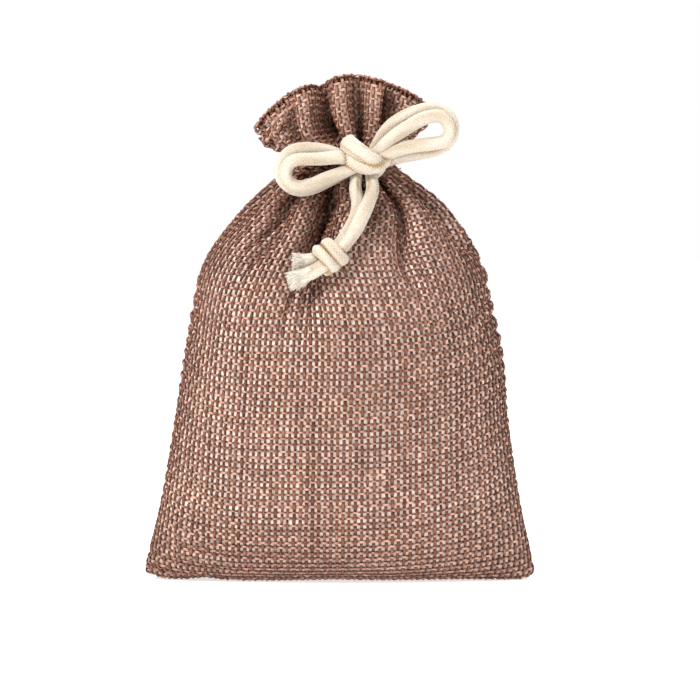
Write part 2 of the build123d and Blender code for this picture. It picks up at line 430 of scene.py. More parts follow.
def soft_dents(angle, length):
    """The slack hollows of a soft cord, and two creases that wander round it."""
    start = rng.uniform(0, 2 * math.pi, 8)
    dents = (0.040 * np.sin(2 * angle + length / (4.3 * MM) + start[0])
             + 0.030 * np.sin(3 * angle - length / (2.6 * MM) + start[1])
             + 0.025 * np.sin(length / (3.1 * MM) + start[2])
             + 0.020 * np.sin(angle + length / (1.9 * MM) + start[3]))
    for crease in (4, 6):
        line = start[crease] + 1.4 * np.sin(length / (6.5 * MM) + start[crease + 1])
        away = (angle - line + math.pi) % (2 * math.pi) - math.pi
        deepening = 0.55 + 0.45 * np.sin(length / (4.7 * MM) + start[crease])
        dents = dents - CREASE_DEPTH * np.exp(-(away / CREASE_HALF_ANGLE) ** 2) * deepening
    return dents


def add_fuzz(sweep, points, sides, ups, radius):
    """Short loose fibres that stand off the cord's surface."""
    count = int(distances(points)[-1] / MM * FUZZ_PER_MM)
    index = rng.integers(0, len(points), count)
    angle = rng.uniform(0, 2 * math.pi, count)
    outward = np.cos(angle)[:, None] * sides[index] + np.sin(angle)[:, None] * ups[index]
    lean = unit(rng.normal(size=(count, 3)))
    reach = (rng.uniform(0.25, 1.0, count) * FUZZ_LENGTH)[:, None]
    base = points[index] + outward * radius * 0.95
    middle = base + (outward * 0.55 + lean * 0.45) * reach
    tip = middle + (outward * 0.15 + lean * 0.7) * reach
    hairs = np.stack([base, middle, tip], 1)
    spokes = unit(np.cross(outward, lean))
    other = unit(np.cross(outward, spokes))
    turns = np.arange(3) * 2 * math.pi / 3
    ring = np.cos(turns)[:, None] * spokes[:, None] + np.sin(turns)[:, None] * other[:, None]
    rings = hairs[:, :, None] + ring[:, None] * FUZZ_RADII[None, :, None, None]
    sweep.add(rings, distances(hairs), 0.9)


def contact_shade(surface, others):
    """1 where another cord lies against the surface, 0 a little way off; it masks the painted shade where
    cords touch.
    """
    nearest = np.full(surface.shape[:2], 1.0)
    for other in others:
        for place in other[::5]:
            nearest = np.minimum(nearest, np.linalg.norm(surface - place, axis=-1))
    return smooth((CORD_RADIUS + 0.8 * MM - nearest) / (1.1 * MM))


def add_braid(sweep, points, radius=CORD_RADIUS, fuzzy=True, pressed_on=None, squeezed=(0, 0), others=()):
    """A braided tube along the points, with its strands in relief.

    It's flattened where it is pressed on a knot and thinner at a squeezed end. Its tone carries painted
    light: highlight on the braid's crowns, shade in its grooves and creases, and painted shade where others
    touch it.
    """
    forward, sides, ups = carried_frames(points)
    if pressed_on is not None:
        outward = points - pressed_on
        outward = unit(outward - forward * (outward * forward).sum(1, keepdims=True))
        sides, ups = np.cross(forward, outward) * KNOT_WIDER, outward * KNOT_FLATTER
    length = distances(points)[:, None]
    angle = (np.arange(CORD_AROUND) * 2 * math.pi / CORD_AROUND)[None, :]
    height = braid_height(angle, length)
    dents = soft_dents(angle, length)
    squeeze = SQUEEZE * (squeezed[0] * np.exp(-(length / SQUEEZE_LENGTH) ** 2)
                         + squeezed[1] * np.exp(-((length[-1] - length) / SQUEEZE_LENGTH) ** 2))
    girth = radius * (1 + BRAID_RELIEF * (height - 0.6) + dents - squeeze)
    spoke = np.cos(angle)[..., None] * sides[:, None] + np.sin(angle)[..., None] * ups[:, None]
    surface = points[:, None] + spoke * girth[..., None]
    # Painted light: crowns lighter as highlight, grooves and creases (the dents) darker as shade, and painted
    # shade where another cord touches
    shade = np.clip(0.22 + 0.70 * height + 3.4 * dents - 0.66 * contact_shade(surface, others), 0, 1)
    sweep.add(surface[None], length[:, 0][None], shade[None])
    if fuzzy:
        add_fuzz(sweep, points, sides, ups, radius)


def millimetres(*rows):
    return np.array(rows, float) * MM


LEFT_LOOP_OUTER = millimetres(
    (5.0, -12.6, 105.6), (2.6, -12.8, 106.6), (-0.4, -13.0, 107.6), (-3.6, -13.1, 108.7),
    (-8.0, -13.4, 109.3), (-12.2, -13.5, 108.4), (-14.6, -13.6, 105.3), (-14.6, -13.6, 101.5),
    (-11.4, -13.6, 98.7), (-7.0, -13.4, 99.0), (-2.9, -13.2, 100.9), (0.4, -13.0, 102.9),
    (4.0, -12.8, 104.4))
LEFT_LOOP_INNER = millimetres(
    (5.0, -15.6, 105.4), (2.6, -16.0, 106.4), (-0.4, -16.4, 106.9), (-3.4, -16.6, 106.7),
    (-7.4, -16.8, 106.5), (-11.2, -17.0, 106.3), (-13.1, -17.0, 104.7), (-13.6, -17.0, 102.3),
    (-12.4, -17.0, 100.2), (-10.1, -17.0, 99.2), (-6.8, -16.8, 100.2), (-3.2, -16.6, 101.7),
    (0.4, -16.4, 103.0), (4.0, -15.8, 104.4))
RIGHT_LOOP_OUTER = millimetres(
    (8.4, -12.8, 108.4), (10.2, -12.9, 111.8), (12.8, -13.0, 115.0), (16.1, -13.2, 117.0),
    (20.1, -13.4, 118.8), (24.1, -13.6, 118.9), (27.1, -13.7, 117.4), (28.3, -13.7, 114.2),
    (27.1, -13.7, 110.7), (24.0, -13.6, 108.8), (19.9, -13.4, 107.9), (16.1, -13.2, 107.1),
    (12.8, -13.0, 106.2), (9.0, -12.8, 105.4))
RIGHT_LOOP_INNER = millimetres(
    (8.4, -15.8, 107.4), (10.4, -16.2, 109.4), (12.8, -16.4, 111.6), (16.2, -16.6, 114.0),
    (19.8, -16.8, 116.1), (23.8, -17.0, 117.4), (26.2, -17.1, 116.6), (27.6, -17.1, 114.5),
    (27.4, -17.1, 112.1), (25.6, -17.1, 110.5), (21.8, -17.0, 110.2), (17.4, -16.7, 109.5),
    (12.8, -16.4, 108.1), (9.0, -15.9, 106.4))
TAIL_LEFT = millimetres(
    (4.5, -14.0, 104.6), (4.4, -14.1, 103.6), (4.2, -14.6, 102.0), (3.8, -15.9, 99.3), (4.6, -17.3, 96.0),
    (4.4, -18.6, 92.7), (2.9, -19.9, 89.4), (0.8, -21.0, 86.2), (-2.0, -21.8, 83.4), (-5.3, -22.1, 81.8),
    (-8.5, -21.9, 81.3))
TAIL_RIGHT = millimetres(
    (7.6, -14.0, 104.6), (7.7, -14.1, 103.6), (7.8, -14.7, 102.0), (8.4, -16.9, 99.3), (7.3, -19.8, 96.0),
    (5.8, -22.1, 92.7), (4.2, -23.3, 89.3), (1.8, -24.4, 86.0), (-1.1, -25.2, 82.7), (-4.4, -25.0, 79.9),
    (-7.5, -24.4, 78.1))
CHANNEL_RING = millimetres(
    (4.6, -12.0, 105.6), (3.6, -7.4, 105.2), (-0.4, -3.4, 105.0), (-0.8, 1.0, 105.0), (1.4, 4.0, 105.0),
    (5.4, 4.0, 105.0), (7.6, 1.0, 105.0), (7.6, -3.4, 105.0), (7.0, -7.4, 105.2), (7.4, -12.0, 105.6))
KNOT_OVER = millimetres(
    (6.2, -9.2, 106.4), (3.4, -10.4, 109.4), (1.8, -13.2, 110.7), (1.9, -16.4, 110.1),
    (3.7, -18.6, 108.9), (6.7, -19.1, 107.1), (9.3, -17.8, 105.6), (10.6, -14.4, 104.4),
    (9.0, -11.0, 103.4))
KNOT_UNDER = millimetres(
    (2.2, -12.0, 109.4), (2.0, -15.4, 107.6), (2.7, -17.2, 105.9), (4.9, -17.9, 104.7),
    (7.6, -18.0, 104.2), (10.3, -17.0, 105.2), (11.9, -14.2, 106.9), (11.6, -11.0, 108.6))
KNOT_CENTRE = np.array([6.6, -13.4, 106.4]) * MM


def free_cord(name, node, body, points, far_end, others):
    in_bow = far_end == "object"
    sweep = Sweep()
    add_braid(sweep, points, squeezed=(1, 1 if in_bow else 0), others=others)
    piece = settle(sweep, name, COTTON, body, "cotton_cord", node)


TAIL_KNOT_CENTRE = np.array([-2.4, -24.0, 82.7]) * MM
TAIL_AXIS = unit(np.array([-0.80, -0.06, -0.60]))
TURN_ACROSS, TURN_DEEP = 2.75 * MM, 2.3 * MM
FRINGE_FIBRES = 760
FRINGE_LOCKS = 11
GOLDEN_ANGLE = 2.399


def tail_knot_routes():
    """The two ends wound side by side round their own tail, as in an overhand knot."""
    across = unit(np.cross(TAIL_AXIS, np.array([0.0, 1.0, 0.0])))
    deep = unit(np.cross(TAIL_AXIS, across))
    turns = np.linspace(-0.2, 1.0, 15) * 2 * math.pi
    routes = []
    for shift in (-1.35, 1.35):
        drift = (np.linspace(-0.9, 0.9, len(turns)) + shift) * MM
        ring = np.outer(np.cos(turns), across) * TURN_ACROSS + np.outer(np.sin(turns), deep) * TURN_DEEP
        routes.append(TAIL_KNOT_CENTRE + np.outer(drift, TAIL_AXIS) + ring)
    return routes


def add_fringe(sweep, root, direction, length, spread):
    """A frayed end: the cord's filling opens into many soft, curling fibres in loose locks."""
    side = unit(np.cross(direction, UP))
    up = np.cross(side, direction)
    lock_angle = np.arange(FRINGE_LOCKS) * GOLDEN_ANGLE
    lock_radius = np.sqrt((np.arange(FRINGE_LOCKS) + 0.5) / FRINGE_LOCKS)
    chosen = rng.integers(0, FRINGE_LOCKS, FRINGE_FIBRES)
    own_angle = rng.uniform(0, 2 * math.pi, FRINGE_FIBRES)
    own_radius = np.sqrt(rng.uniform(0, 1, FRINGE_FIBRES))
    angle = lock_angle[chosen]
    start = (lock_radius[chosen] * 0.75)[:, None] * np.stack([np.cos(angle), np.sin(angle)], 1)
    start += (own_radius * 0.34)[:, None] * np.stack([np.cos(own_angle), np.sin(own_angle)], 1)
    finish = start * spread + rng.normal(size=(FRINGE_FIBRES, 2)) * 0.10
    reach = length * rng.uniform(0.72, 1.0, FRINGE_FIBRES) * (0.84 + 0.16 * np.cos(angle * 3))
    steps = np.linspace(0, 1, 7)
    wave = np.sin(steps[None, :] * 6 + own_angle[:, None]) * steps[None, :] * 0.22
    plane = start[:, None] + (finish - start)[:, None] * steps[None, :, None] ** 1.4
    plane = plane * CORD_RADIUS + wave[..., None] * MM
    hairs = root + steps[None, :, None] * reach[:, None, None] * direction
    hairs = hairs + plane[..., :1] * side + plane[..., 1:] * up
    turns = np.arange(5) * 2 * math.pi / 5
    ring = np.cos(turns)[:, None] * side + np.sin(turns)[:, None] * up
    thick = rng.uniform(0.075, 0.125, FRINGE_FIBRES)[:, None] * (1 - 0.55 * steps[None, :] ** 3) * MM
    rings = hairs[:, :, None] + ring[None, None] * thick[..., None, None]
    shade = 0.55 + 0.45 * rng.uniform(0, 1, FRINGE_FIBRES)[:, None, None] * np.ones((1, len(steps), 1))
    sweep.add(rings, distances(hairs), shade)


def fringe(name, node, root, direction, length, spread):
    sweep = Sweep()
    add_fringe(sweep, root, unit(np.array(direction)), length, spread)
    return settle(sweep, name, FRAY, "drawstring_tail", "frayed_cotton", node)


def build_cords():
    routes = {"left_outer": LEFT_LOOP_OUTER, "left_inner": LEFT_LOOP_INNER, "right_outer": RIGHT_LOOP_OUTER,
              "right_inner": RIGHT_LOOP_INNER, "tail_left": TAIL_LEFT, "tail_right": TAIL_RIGHT,
              "over": KNOT_OVER, "under": KNOT_UNDER, "ring": CHANNEL_RING}
    lines = {name: route_points(name, route, CORD_STEP) for name, route in routes.items()}
    for name, route in zip(("first_turn", "second_turn"), tail_knot_routes()):
        lines[name] = route_points(name, route, CORD_STEP)

    def others(name):
        return [line for other, line in lines.items() if other != name]

    def braided(name, body, node, radii, pressed_on=None, fuzzy=True):
        """One piece of cord that runs along each line in radii, as thick as it says."""
        sweep = Sweep()
        for line, radius in radii.items():
            add_braid(sweep, lines[line], radius, fuzzy, pressed_on, others=others(line))
        return settle(sweep, name, COTTON, body, "cotton_cord", node)

    braided("bow_knot_wraps", "pouch", "bow_knot", {"over": CORD_RADIUS * 1.06, "under": CORD_RADIUS * 0.96},
            pressed_on=KNOT_CENTRE)
    braided("channel_drawstring", "pouch", "channel_cord", {"ring": CORD_RADIUS}, fuzzy=False)
    tail_knot = braided("tail_knot_wraps", "drawstring_tail", "tail_knot",
                        {"first_turn": CORD_RADIUS * 0.92, "second_turn": CORD_RADIUS * 0.92})
    # Each frayed end starts a little way back inside its strand
    upper_root = TAIL_LEFT[-1] - np.array([-2.4, 0, -0.4]) * MM
    lower_root = TAIL_RIGHT[-1] - np.array([-1.0, 0, -0.9]) * MM
    upper = fringe("frayed_end_upper", "tail_fringe_upper", upper_root, (-0.97, 0.0, -0.10), 6.0 * MM, 1.35)
    lower = fringe("frayed_end_lower", "tail_fringe_lower", lower_root, (-0.89, 0.05, -0.42), 7.2 * MM, 1.6)

    for side in ("left", "right"):
        for ply in ("outer", "inner"):
            name = f"{side}_{ply}"
            free_cord(f"{side}_loop_{ply}_cord", f"{side}_loop_{ply}", f"{side}_loop", lines[name], "object",
                      others(name))
    for side, pieces in (("left", [tail_knot, upper]), ("right", [lower])):
        name = f"tail_{side}"
        free_cord(f"tail_cord_{side}", f"tail_strand_{side}", "drawstring_tail", lines[name], "knot",
                  others(name))


# ---------------- the relaxed cloth

PANEL_WIDTH = 100.0 * MM
CLOTH_AROUND = 2 * PANEL_WIDTH
CLOTH_TALL = 142.0 * MM
CAD_HALF_WIDTH = (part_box("front_panel")[1].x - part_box("front_panel")[0].x) / 2
CAD_HALF_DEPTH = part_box("back_panel")[1].y
CAD_HEIGHT = box_high[2]
LOWER_STITCH = 118.5 * MM
UPPER_STITCH = 124.5 * MM
CLOTH_THICK = 0.55 * MM

# Cloth height in mm, then the section there: its height, half width and half depth as shares of the
# CAD body's, and its middle's x in mm.
PROFILE = np.array([
    (0, 0.005, 1.000, 0.03, 0.0), (5, 0.010, 0.998, 0.235, 0.0), (10, 0.025, 0.993, 0.425, 0.0),
    (14, 0.045, 0.985, 0.55, 0.0), (20, 0.083, 0.963, 0.67, 0.0), (35, 0.190, 0.904, 0.83, 0.2),
    (52, 0.316, 0.849, 0.95, 0.4), (70, 0.455, 0.800, 1.00, 1.0), (84, 0.563, 0.725, 0.97, 0.7),
    (94, 0.638, 0.660, 0.88, 0.9), (102, 0.694, 0.592, 0.78, 1.7), (109, 0.738, 0.512, 0.69, 2.0),
    (115, 0.780, 0.393, 0.58, 0.6), (119, 0.812, 0.278, 0.45, 1.2), (122, 0.831, 0.200, 0.41, 3.2),
    (125, 0.852, 0.226, 0.42, 3.4), (130, 0.887, 0.316, 0.46, 2.9), (136, 0.934, 0.400, 0.52, 1.6),
    (142, 0.980, 0.449, 0.56, 1.2)])
# Each fold of the body: its place round the mouth (0 and 1 left seam, 0.5 right seam), depth, the cloth
# height in mm where it starts, and how far round it has moved there.
FOLDS = np.array([
    (0.060, 0.8, 95, 0.000), (0.135, 1.4, 80, 0.024), (0.218, 2.3, 68, -0.020), (0.290, 1.5, 97, 0.000),
    (0.345, 1.3, 82, -0.022), (0.398, 1.9, 86, 0.056), (0.545, 0.9, 93, 0.000), (0.615, 1.5, 78, 0.012),
    (0.700, 1.0, 97, 0.000), (0.765, 2.2, 68, 0.000), (0.850, 1.4, 84, 0.015), (0.935, 1.0, 97, 0.000)])
# Each fold of the ruffle: its place round the mouth and its depth.
RUFFLE_FOLDS = np.array([
    (0.045, 0.5), (0.129, 0.9), (0.203, 2.1), (0.277, 1.3), (0.350, 1.7), (0.435, 0.7),
    (0.560, 1.0), (0.660, 1.6), (0.765, 1.4), (0.860, 1.5), (0.945, 0.6)])
FOLDS_FROM = 66 * MM        # the cloth is smooth up to this height
FOLDS_FULL = 119            # the cloth height in mm where the body's folds are deepest
DEEPEST_FOLD = 9.0 * MM
# The ruffle fans out from here up. Its left lobe also leans out and droops, and a notch parts the lobes.
FAN_FROM, FAN_TALL = 122 * MM, 20 * MM
FAN_MIDDLE, FAN_HALF_WIDTH = 1.2 * MM, 22 * MM
FAN_RISE, FAN_FALL_LEFT, FAN_FALL_RIGHT = 1.5 * MM, 15.0 * MM, 10.5 * MM
LOBE_HEIGHT, LOBE_TALL = 129 * MM, 6 * MM
LOBE_OUT, LOBE_DROOP = 4.2 * MM, 1.4 * MM
NOTCH_PLACE, NOTCH_HALF_WIDTH, NOTCH_DEPTH = -3.8 * MM, 2.0 * MM, 2.6 * MM
RISE_RIGHT, RISE_LEFT = 8.5 * MM, 6.8 * MM
# How far the bottom edge stands off the floor at each x, both in mm: an ear at the left corner, a rounded
# right one.
BOTTOM_LIFT = np.array([(-49.5, 4.0), (-44.5, 1.2), (-40, 1.0), (-34, 1.6), (-26, 0.2), (-14, 0.0), (-2, 0.5),
                        (12, 0.0), (28, 0.5), (38, 0.5), (44.5, 0.2), (49.5, 2.4)])


def smooth(value):
    value = np.clip(value, 0, 1)
    return value * value * (3 - 2 * value)


def through(places, knots, values):
    """A smooth curve through the values at the knots."""
    slopes = np.gradient(values, knots)
    index = np.clip(np.searchsorted(knots, places) - 1, 0, len(knots) - 2)
    span = knots[index + 1] - knots[index]
    part = (places - knots[index]) / span
    rest = 1 - part
    return ((1 + 2 * part) * rest ** 2 * values[index] + part * rest ** 2 * span * slopes[index]
            + part ** 2 * (3 - 2 * part) * values[index + 1] - part ** 2 * rest * span * slopes[index + 1])


def ring_length(x, y):
    return np.hypot(np.roll(x, -1) - x, np.roll(y, -1) - y).sum()


def even_columns(x, y, columns):
    """Spaces the columns evenly along the front half and the back half of a closed ring."""
    reach = np.concatenate([[0], np.cumsum(np.hypot(np.roll(x, -1) - x, np.roll(y, -1) - y))])
    half = len(x) // 2
    share = np.arange(columns // 2) / (columns // 2)
    places = np.concatenate([share * reach[half], reach[half] + share * (reach[-1] - reach[half])])
    return np.interp(places, reach, np.append(x, x[0])), np.interp(places, reach, np.append(y, y[0]))


def fold_reaches(places):
    """Half the way from each fold to the one before it and to the one after it."""
    before = ((places - np.roll(places, 1)) % 1) / 2
    return before, np.roll(before, -1)


def fold_wave(share, place, left, right):
    """A rounded dent, 1 at its place and 0 half way to its neighbours."""
    offset = (share - place + 0.5) % 1 - 0.5
    offset = np.clip(offset / np.where(offset < 0, left, right), -1, 1)
    return 0.5 + 0.5 * np.cos(math.pi * offset)


def row_rise(share, height):
    """How far the rows ride up beside the side seams, where the cloth doesn't turn under the pouch."""
    from_right = abs(share - 0.5)
    from_left = np.minimum(share, 1 - share)
    rise = (RISE_RIGHT * np.exp(-(from_right / 0.105) ** 1.5)
            + RISE_LEFT * np.exp(-(from_left / 0.055) ** 1.5))
    return rise * smooth(height / (20 * MM)) * (1 - smooth((height - 44 * MM) / (74 * MM)))


def fold_depth(share, height):
    """How deep the folds are round the pouch: the body's up to the neck, the ruffle's above it."""
    body = np.zeros_like(share)
    for (place, depth, start, drift), left, right in zip(FOLDS, *fold_reaches(FOLDS[:, 0])):
        grown = smooth((height / MM - start) / (FOLDS_FULL - start))
        body += depth * grown ** 1.1 * fold_wave(share, place + drift * (1 - grown), left, right)
    ruffle = sum(depth * fold_wave(share, place, left, right) ** 1.4
                 for (place, depth), left, right in zip(RUFFLE_FOLDS, *fold_reaches(RUFFLE_FOLDS[:, 0])))
    late = smooth((height / MM - 118) / 9)
    return body * (1 - late) + ruffle * late


def fold_scale(x, y, dents, limit):
    """How much of the dents the section needs to take up all of the cloth, by halving."""
    low, high = 0.0, limit
    for _ in range(20):
        size = (low + high) / 2
        if ring_length(x - dents[:, 0] * size, y - dents[:, 1] * size) < CLOTH_AROUND:
            low = size
        else:
            high = size
    return low


def risen(shape, heights):
    """The shape with its rows ridden up beside the side seams."""
    rows, columns, _ = shape.shape
    column = np.arange(columns)[None, :]
    places = (heights[:, None] + row_rise(column / columns, heights[:, None])) / heights[1]
    lower = np.clip(np.floor(places).astype(int), 0, rows - 2)
    part = (places - lower)[..., None]
    return shape[lower, column] * (1 - part) + shape[lower + 1, column] * part


def fan_out(shape, heights):
    """Spreads the ruffle: its lobes fall away to the sides, and the left one leans out."""
    lobe = np.exp(-((heights - LOBE_HEIGHT) / LOBE_TALL) ** 2)[:, None]
    lobe = lobe * smooth((4 * MM - shape[..., 0]) / (10 * MM))
    shape[..., 0] -= lobe * LOBE_OUT
    shape[..., 2] -= lobe * LOBE_DROOP
    side = (shape[..., 0] - FAN_MIDDLE) / FAN_HALF_WIDTH
    fan = smooth((heights - FAN_FROM) / FAN_TALL)[:, None]
    fall = np.where(side < 0, FAN_FALL_LEFT, FAN_FALL_RIGHT)
    shape[..., 2] += fan * (FAN_RISE - fall * side ** 2)
    shape[..., 2] -= fan * NOTCH_DEPTH * np.exp(-((shape[..., 0] - NOTCH_PLACE) / NOTCH_HALF_WIDTH) ** 2)


def folded_shape(columns, rows):
    """The pouch as drawn: elliptical sections whose folds take up the cloth that gathering leaves over."""
    heights = np.linspace(0, CLOTH_TALL, rows)
    knots = PROFILE[:, 0] * MM
    levels = through(heights, knots, PROFILE[:, 1] * CAD_HEIGHT)
    widths = through(heights, knots, PROFILE[:, 2] * CAD_HALF_WIDTH)
    depths = through(heights, knots, PROFILE[:, 3] * CAD_HALF_DEPTH)
    middles = through(heights, knots, PROFILE[:, 4] * MM)
    share = np.arange(2400) / 2400
    angle = share * 2 * math.pi
    shape = np.zeros((rows, columns, 3))
    for row, height in enumerate(heights):
        wide, deep = widths[row], depths[row]
        x, y = -np.cos(angle) * wide, -np.sin(angle) * deep
        if height > FOLDS_FROM:
            outward = unit(np.stack([-np.cos(angle) / wide, -np.sin(angle) / deep], 1))
            dents = outward * fold_depth(share, height)[:, None]
            size = fold_scale(x, y, dents, min(deep * 0.75, DEEPEST_FOLD))
            x, y = x - dents[:, 0] * size, y - dents[:, 1] * size
        x, y = even_columns(x, y, columns)
        shape[row] = np.stack([x + middles[row], y, np.full(columns, levels[row])], 1)
    shape = risen(shape, heights)
    fan_out(shape, heights)
    lift = np.interp(shape[..., 0] / MM, BOTTOM_LIFT[:, 0], BOTTOM_LIFT[:, 1]) * MM
    shape[..., 2] += (1 - smooth(heights / (16 * MM)))[:, None] * lift
    return shape, heights


THREAD_PAIRS = [  # rows apart, columns apart, stiffness, and whether it only resists bending
    (0, 1, 1.0, False), (1, 0, 1.0, False), (1, 1, 0.12, False), (1, -1, 0.12, False),
    (0, 2, 0.06, True), (2, 0, 0.06, True), (0, 4, 0.03, True), (4, 0, 0.03, True)]


def relax(cloth, target, held, pull, swell, rounds):
    """Moves a net of points until its threads have their length, while it swells, near the target."""
    rows, columns, _ = cloth.shape
    wide, tall = CLOTH_AROUND / columns, CLOTH_TALL / (rows - 1)
    weight = np.zeros((rows, columns, 1))
    for down, _, stiffness, _ in THREAD_PAIRS:
        weight[:rows - down] += stiffness
        weight[down:] += stiffness
    speed = np.zeros_like(cloth)
    for _ in range(rounds):
        push = np.zeros_like(cloth)
        for down, across, stiffness, only_bends in THREAD_PAIRS:
            gap = np.roll(cloth[down:], -across, axis=1) - cloth[:rows - down]
            length = np.linalg.norm(gap, axis=-1, keepdims=True) + TINY
            excess = 1 - math.hypot(down * tall, across * wide) / length
            if only_bends:
                excess = np.minimum(excess, 0)
            part = gap * excess * stiffness / 2
            push[:rows - down] += part
            push[down:] -= np.roll(part, across, axis=1)
        push *= 2.2 / weight
        outward = unit(np.cross(np.roll(cloth, -1, 1) - np.roll(cloth, 1, 1), np.gradient(cloth, axis=0)))
        push += outward * swell + (target - cloth) * pull
        speed = speed * 0.9 + push
        moved = cloth + np.clip(speed / 2, -0.5 * MM, 0.5 * MM)
        moved[..., 2] = np.maximum(moved[..., 2], CLOTH_THICK)
        moved = moved * (1 - held) + target * held
        edge = (moved[0] + np.roll(moved[0][::-1], 1, axis=0)) / 2
        edge[:, 1] = 0
        moved[0] = edge
        speed = (moved - cloth) * 2
        cloth = moved
    return cloth


def halfway(values):
    """Smoothly placed points between neighbours along the first axis."""
    padded = np.concatenate([2 * values[:1] - values[1:2], values, 2 * values[-1:] - values[-2:-1]])
    return (9 * (padded[1:-2] + padded[2:-1]) - padded[:-3] - padded[3:]) / 16


def doubled(cloth):
    rows, columns, _ = cloth.shape
    wider = np.empty((rows, 2 * columns, 3))
    wider[:, ::2] = cloth
    wider[:, 1::2] = (9 * (cloth + np.roll(cloth, -1, 1)) - np.roll(cloth, 1, 1) - np.roll(cloth, -2, 1)) / 16
    taller = np.empty((2 * rows - 1, 2 * columns, 3))
    taller[::2] = wider
    taller[1::2] = halfway(wider)
    return taller


def relaxed_at(cloth, shape, heights, held_from, held_to, pulls, swells, rounds):
    """Relaxes the cloth near the shape, held still where the neck is tied."""
    levels = heights / MM
    held = ((levels > held_from) & (levels < held_to)) * 1.0
    pull = np.interp(levels, [0, 60, 85, 108, 116, 142], pulls)
    swell = np.interp(levels, [0, 90, 112, 118], swells) * MM
    held, pull, swell = (values[:, None, None] for values in (held, pull, swell))
    return relax(cloth, shape, held, pull, swell, rounds)


def relaxed_cloth():
    """The cloth relaxed on a coarse net, then on one twice as fine."""
    columns, rows = 128, 89
    shape, heights = folded_shape(columns, rows)
    cloth = relaxed_at(shape, shape, heights, 117.5, 125.5, [0.02, 0.02, 0.006, 0.008, 0.02, 0.02],
                       [0.010, 0.010, 0.004, 0], 400)
    shape, heights = folded_shape(2 * columns, 2 * rows - 1)
    cloth = relaxed_at(doubled(cloth), shape, heights, 119, 124.5, [0.006, 0.006, 0.002, 0.002, 0.006, 0.006],
                       [0.005, 0.005, 0.002, 0], 220)
    return doubled(cloth)


class Surface:
    """A net of points that can be read anywhere: share runs round it, height up it from 0 to tall."""

    def __init__(self, net, tall):
        self.net, self.tall = net, tall
        across = np.roll(net, -1, 1) - np.roll(net, 1, 1)
        self.normals = unit(np.cross(across, np.gradient(net, axis=0)))

    def read(self, share, height):
        rows, columns, _ = self.net.shape
        share, height = np.broadcast_arrays(share, height)
        column = share * columns
        first = np.floor(column).astype(int)
        row = np.clip(height / self.tall, 0, 1) * (rows - 1)
        below = np.clip(np.floor(row).astype(int), 0, rows - 2)
        part, rise = (column - first)[..., None], (row - below)[..., None]
        left, right = first % columns, (first + 1) % columns
        result = []
        for grid in (self.net, self.normals):
            low = grid[below, left] * (1 - part) + grid[below, right] * part
            high = grid[below + 1, left] * (1 - part) + grid[below + 1, right] * part
            result.append(low * (1 - rise) + high * rise)
        return result[0], unit(result[1])


SEAM_DEPTH = 0.8 * MM


def with_seams(net):
    """The cloth drawn in along its two side seams."""
    columns = net.shape[1]
    reach = np.arange(columns) / columns * CLOTH_AROUND
    away = abs((reach + CLOTH_AROUND / 4) % (CLOTH_AROUND / 2) - CLOTH_AROUND / 4)
    levels = np.linspace(0, CLOTH_TALL, len(net))
    depth = np.interp(levels / MM, [14, 26, 112, 118], [0, 1, 1, 0])[:, None] * SEAM_DEPTH
    depth = depth * np.exp(-(away / (1.0 * MM)) ** 2)
    return net - Surface(net, CLOTH_TALL).normals * depth[..., None]


# ---------------- the weave

WARP_COUNT = 136
WEFT_COUNT = 86
WEFT_PITCH = CLOTH_TALL / WEFT_COUNT
# Each yarn: half its width and thickness, how uneven it is, and its middle tone and the swing of painted
# highlight and shade about it
WARP_YARN = ((0.390 * MM, 0.25 * MM), (0.07, 0.06), (0.28, 0.24))
WEFT_YARN = ((0.315 * MM, 0.22 * MM), (0.08, 0.07), (0.42, 0.36))
WAVE = 0.24 * MM
THREAD_DRIFT = 0.045     # how far a thread strays, as a share of the pitch
STEPS_EACH = 3
SECTION = np.array([(1.0, 0.0), (0.55, 0.92), (-0.55, 0.92), (-1.0, 0.0), (0.0, -0.85)])
GROUND_DEPTH, GROUND_THICK = 0.14 * MM, 0.12 * MM
HEM_GAP = 1.5 * MM
HEM_TURN = 24.0 * MM


def wandering(count, steps, size):
    """A slow random drift for each thread."""
    knots = rng.normal(size=(count, steps // 14 + 3)) * size
    places = np.linspace(0, knots.shape[1] - 1, steps)
    low = np.clip(np.floor(places).astype(int), 0, knots.shape[1] - 2)
    part = smooth(places - low)
    return knots[:, low] * (1 - part) + knots[:, low + 1] * part


def ribbons(centres, normals, half, width_change):
    """Flat oval threads along rows of centres, (thread, step, xyz)."""
    forward = unit(np.gradient(centres, axis=1))
    side = unit(np.cross(normals, forward))
    up = np.cross(forward, side)
    wide = half[0] * width_change[..., None, None]
    return (centres[:, :, None] + side[:, :, None] * SECTION[:, 0, None] * wide
            + up[:, :, None] * SECTION[:, 1, None] * half[1])


def off_seam(share):
    """1 over the panels, less beside the side seams, where the stitching presses the weave flat."""
    away = abs((share * 2 + 0.5) % 1 - 0.5) * CLOTH_AROUND / 2
    return 1 - 0.72 * np.exp(-(away / (2.6 * MM)) ** 2)


def crest(phase):
    """A wave with flat tops, up to 1 and down to -1."""
    wave = np.sin(phase)
    return np.sign(wave) * (1 - (1 - abs(wave)) ** 1.8)


def shade_of(height, phase, middle, highlight_and_shade_swing):
    """The tone of each thread: a tone of its own that varies at random, painted highlight on its crests,
    painted shade where it dives, and painted light that makes the ruffle lighter.
    """
    threads, steps = phase.shape
    own = rng.normal(size=(threads, 1)) * 0.05
    slow = wandering(threads, steps, 0.06) + rng.normal(size=phase.shape) * 0.085
    # Painted light: the threads are made lighter from 119 mm up, in the ruffle
    upper = 0.20 * smooth((height - 119 * MM) / (9 * MM))
    # The swing paints highlight on each crest and shade where the thread dives
    return (np.clip(middle + own + slow + upper + highlight_and_shade_swing * np.sin(phase), 0, 1))[..., None]


